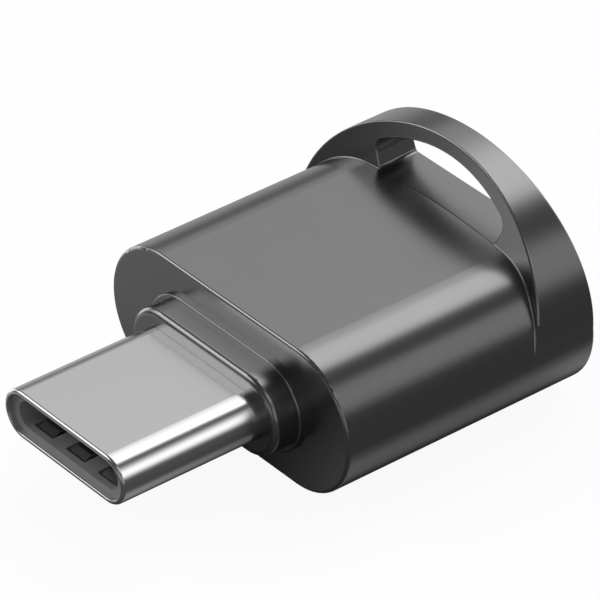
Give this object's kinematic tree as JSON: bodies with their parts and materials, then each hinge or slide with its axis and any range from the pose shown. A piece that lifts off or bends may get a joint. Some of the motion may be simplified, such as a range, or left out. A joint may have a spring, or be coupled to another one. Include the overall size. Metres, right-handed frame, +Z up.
{
  "type": "usb memory card reader",
  "caption": "Pocket USB-C memory card reader: cast metal body with full-round sides, plug in a stepped collar, card slot in the rear end and an arched keyring eye above it.",
  "frame": {"origin": "under the middle of the whole reader, on its flat underside", "axes": "+X from the plug towards the card slot, +Y across the body, +Z up towards the keyring eye"},
  "size_m": [0.0226, 0.0162, 0.0101],
  "materials": {
    "gunmetal": "satin gunmetal plating on a cast metal body",
    "nickel_plate": "bright nickel plating",
    "spring_steel": "plain spring steel",
    "socket_steel": "stamped stainless steel",
    "can_metal": "drawn metal can",
    "gold_contact": "gold flash on copper alloy",
    "black_plastic": "fine matt moulding",
    "connector_plastic": "moulded heat-resistant plastic",
    "board_green": "glass-epoxy board with solder mask",
    "chip_black": "matt epoxy package",
    "capacitor_tan": "ceramic",
    "resistor_black": "coated ceramic",
    "film_amber": "polyimide film"
  },
  "bodies": {
    "root": {"card_detect_contact": "gold_contact", "card_socket_base": "connector_plastic", "card_socket_contacts": "gold_contact", "card_socket_cover": "socket_steel", "chip_capacitors": "capacitor_tan", "chip_resistors": "resistor_black", "circuit_board": "board_green", "controller_chip": "chip_black", "crystal": "can_metal", "earthing_spring_lower": "spring_steel", "earthing_spring_upper": "spring_steel", "housing": "gunmetal", "insulating_film": "film_amber", "plug_contacts_lower": "gold_contact", "plug_contacts_upper": "gold_contact", "plug_insulator": "connector_plastic", "plug_latch": "spring_steel", "plug_shell": "nickel_plate", "plug_wafer_lower": "connector_plastic", "plug_wafer_upper": "connector_plastic", "rear_carrier": "black_plastic", "voltage_regulator": "chip_black"}
  },
  "joints": []
}
